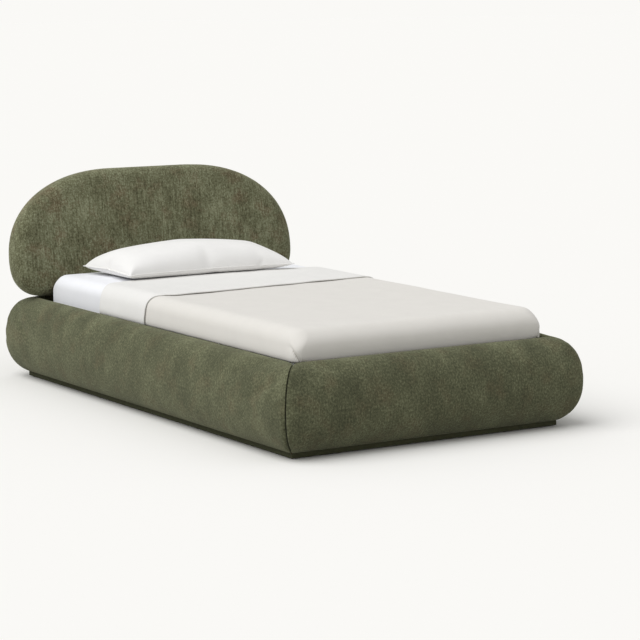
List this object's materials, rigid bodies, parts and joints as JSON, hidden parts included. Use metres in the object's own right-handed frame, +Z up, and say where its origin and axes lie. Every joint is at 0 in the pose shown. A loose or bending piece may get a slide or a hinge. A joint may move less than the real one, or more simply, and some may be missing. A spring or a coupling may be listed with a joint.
{
  "type": "upholstered storage bed",
  "caption": "Single upholstered bed with a rounded headboard and a lift-up platform on gas struts over a storage bay, dressed with a mattress, sheets, a blanket and a pillow.",
  "frame": {"origin": "centre of the bed's whole plan at floor level, under the glides", "axes": "X across the bed to the right as seen from its foot, Y from the foot to the headboard, Z up"},
  "size_m": [1.34, 2.236, 0.856],
  "materials": {
    "glide_plastic": "satin",
    "plinth_fabric": "matte, same cloth as the rails, in shade",
    "pine_timber": "planed, unfinished",
    "birch_ply": "sanded plywood",
    "chenille_fabric": "matte, soft pile with uneven vertical slubs",
    "zinc_steel": "zinc plated",
    "black_steel": "satin black powder coat",
    "frame_paint": "matt dark grey powder coat",
    "strut_paint": "gloss black",
    "strut_chrome": "polished",
    "buffer_rubber": "matt",
    "slat_wood": "lacquered beech veneer",
    "holder_plastic": "matt",
    "mattress_ticking": "knitted ticking",
    "white_cotton": "smooth, matt",
    "fold_cotton": "smooth, matt",
    "blanket_cotton": "soft brushed",
    "pillow_cotton": "smooth, matt"
  },
  "bodies": {
    "base": {"floor_glides": "glide_plastic", "plinth_board_right": "plinth_fabric", "plinth_board_left": "plinth_fabric", "plinth_board_head": "plinth_fabric", "plinth_board_foot": "plinth_fabric", "floor_bearers": "pine_timber", "rail_board_right": "pine_timber", "rail_board_left": "pine_timber", "rail_board_head": "pine_timber", "rail_board_foot": "pine_timber", "leg_blocks": "pine_timber", "headboard_leg_right": "pine_timber", "headboard_leg_left": "pine_timber", "storage_floor_foot": "birch_ply", "storage_floor_head": "birch_ply", "headboard_board": "birch_ply", "rail_pad_right": "chenille_fabric", "rail_pad_left": "chenille_fabric", "rail_pad_head": "chenille_fabric", "rail_pad_foot": "chenille_fabric", "headboard_front_pad": "chenille_fabric", "headboard_back_pad": "chenille_fabric", "corner_brackets": "zinc_steel", "corner_bracket_screws": "zinc_steel", "leg_bolts": "zinc_steel", "hinge_plate_screws": "zinc_steel", "base_pivots": "zinc_steel", "strut_base_studs": "zinc_steel", "platform_rests": "black_steel", "hinge_plate_right": "black_steel", "hinge_plate_left": "black_steel", "rest_buffers": "buffer_rubber"},
    "rear_arms": {"rear_arm_right": "black_steel", "rear_arm_left": "black_steel", "tie_tube": "black_steel"},
    "front_arm_right": {"front_arm_right": "black_steel", "strut_stud_right": "zinc_steel"},
    "front_arm_left": {"front_arm_left": "black_steel", "strut_stud_left": "zinc_steel"},
    "gas_cylinder_right": {"gas_cylinder_right": "strut_paint"},
    "gas_cylinder_left": {"gas_cylinder_left": "strut_paint"},
    "gas_rod_right": {"gas_rod_right": "strut_chrome"},
    "gas_rod_left": {"gas_rod_left": "strut_chrome"},
    "platform": {"platform_tube_right": "frame_paint", "platform_tube_left": "frame_paint", "platform_tube_foot": "frame_paint", "platform_tube_head": "frame_paint", "platform_cross_tubes": "frame_paint", "mounting_angle_right": "black_steel", "mounting_angle_left": "black_steel", "mounting_angle_bolts": "zinc_steel", "platform_pivots": "zinc_steel", "slats": "slat_wood", "slat_holders": "holder_plastic", "mattress_stop": "frame_paint", "mattress": "mattress_ticking", "fitted_sheet": "white_cotton", "blanket": "blanket_cotton", "top_sheet": "fold_cotton", "pillow": "pillow_cotton"}
  },
  "joints": [
    {"name": "rear_arm_lift", "type": "hinge", "parent": "base", "child": "rear_arms", "pos_m": [0, 0.4, 0.12], "axis": [1, 0, 0], "range_deg": [0, 43.85]},
    {"name": "platform_lift", "type": "hinge", "parent": "rear_arms", "child": "platform", "pos_m": [0, 0.66486, 0.21265], "axis": [-1, 0, 0], "range_deg": [0, 77.8]},
    {"name": "front_arm_lift_right", "type": "hinge", "parent": "base", "child": "front_arm_right", "pos_m": [0.5345, 0.2152, 0.075], "axis": [1, 0, 0], "range_deg": [0, 35.6]},
    {"name": "gas_cylinder_swing_right", "type": "hinge", "parent": "base", "child": "gas_cylinder_right", "pos_m": [0.515, 0.5, 0.07], "axis": [1, 0, 0], "range_deg": [0, 3.5]},
    {"name": "gas_rod_extend_right", "type": "slide", "parent": "gas_cylinder_right", "child": "gas_rod_right", "axis": [0, -0.8442, 0.536], "range_m": [0, 0.0889]},
    {"name": "front_arm_lift_left", "type": "hinge", "parent": "base", "child": "front_arm_left", "pos_m": [-0.5345, 0.2152, 0.075], "axis": [1, 0, 0], "range_deg": [0, 35.6]},
    {"name": "gas_cylinder_swing_left", "type": "hinge", "parent": "base", "child": "gas_cylinder_left", "pos_m": [-0.515, 0.5, 0.07], "axis": [1, 0, 0], "range_deg": [0, 3.5]},
    {"name": "gas_rod_extend_left", "type": "slide", "parent": "gas_cylinder_left", "child": "gas_rod_left", "axis": [0, -0.8442, 0.536], "range_m": [0, 0.0889]}
  ],
  "couplings": [
    {"joint": "rear_arm_lift", "follows": "platform_lift", "ratio": 0.56299},
    {"joint": "front_arm_lift_right", "follows": "platform_lift", "ratio": 0.45698},
    {"joint": "gas_cylinder_swing_right", "follows": "platform_lift", "ratio": 0.04484},
    {"joint": "gas_rod_extend_right", "follows": "platform_lift", "m_per_rad": 0.06542},
    {"joint": "front_arm_lift_left", "follows": "platform_lift", "ratio": 0.45698},
    {"joint": "gas_cylinder_swing_left", "follows": "platform_lift", "ratio": 0.04484},
    {"joint": "gas_rod_extend_left", "follows": "platform_lift", "m_per_rad": 0.06542}
  ]
}
